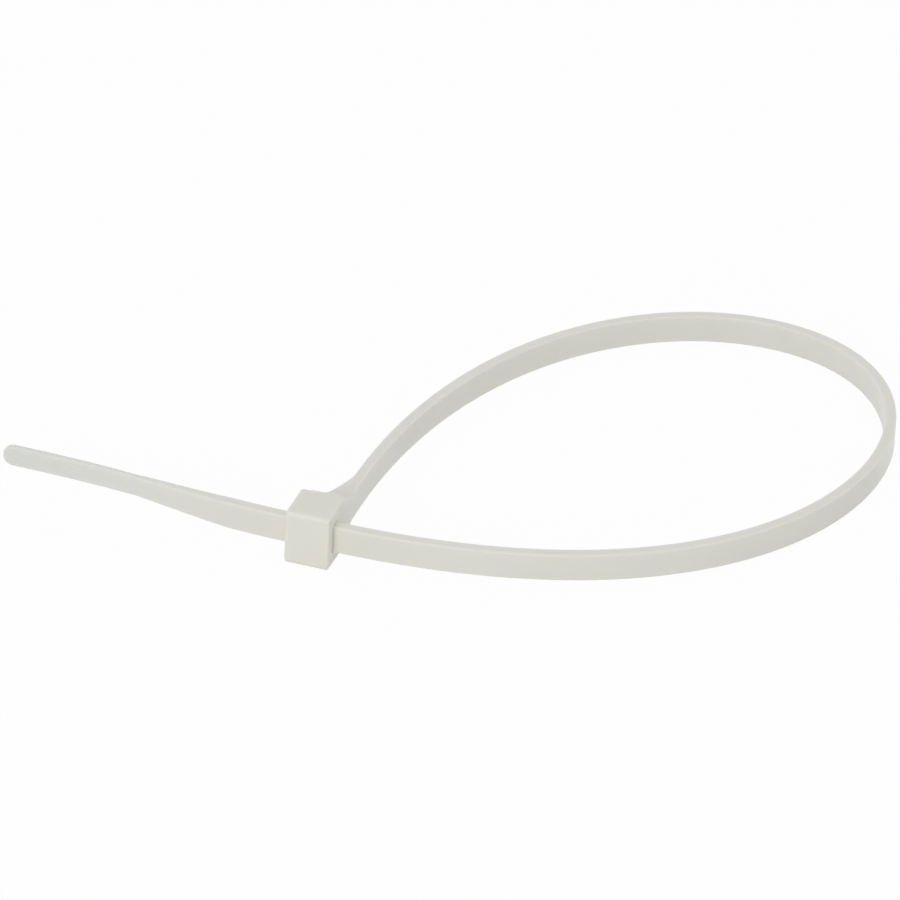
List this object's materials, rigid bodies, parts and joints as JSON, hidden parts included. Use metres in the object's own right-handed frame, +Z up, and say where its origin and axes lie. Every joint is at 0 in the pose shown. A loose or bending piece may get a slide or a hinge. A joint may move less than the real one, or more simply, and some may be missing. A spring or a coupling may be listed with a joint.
{
  "type": "cable tie",
  "caption": "Moulded cable tie in natural nylon, closed into a drop-shaped loop, with its tapered tail passed through the ratchet head.",
  "frame": {"origin": "middle of the footprint, on the surface that the tie lies on", "axes": "+X along the loop from the tail's tip to the far end, +Y across the loop towards the strap's root, +Z up"},
  "size_m": [0.0764, 0.0412, 0.0052],
  "materials": {
    "nylon": "satin natural nylon, slightly translucent"
  },
  "bodies": {
    "root": {"cable_tie": "nylon"}
  },
  "joints": []
}
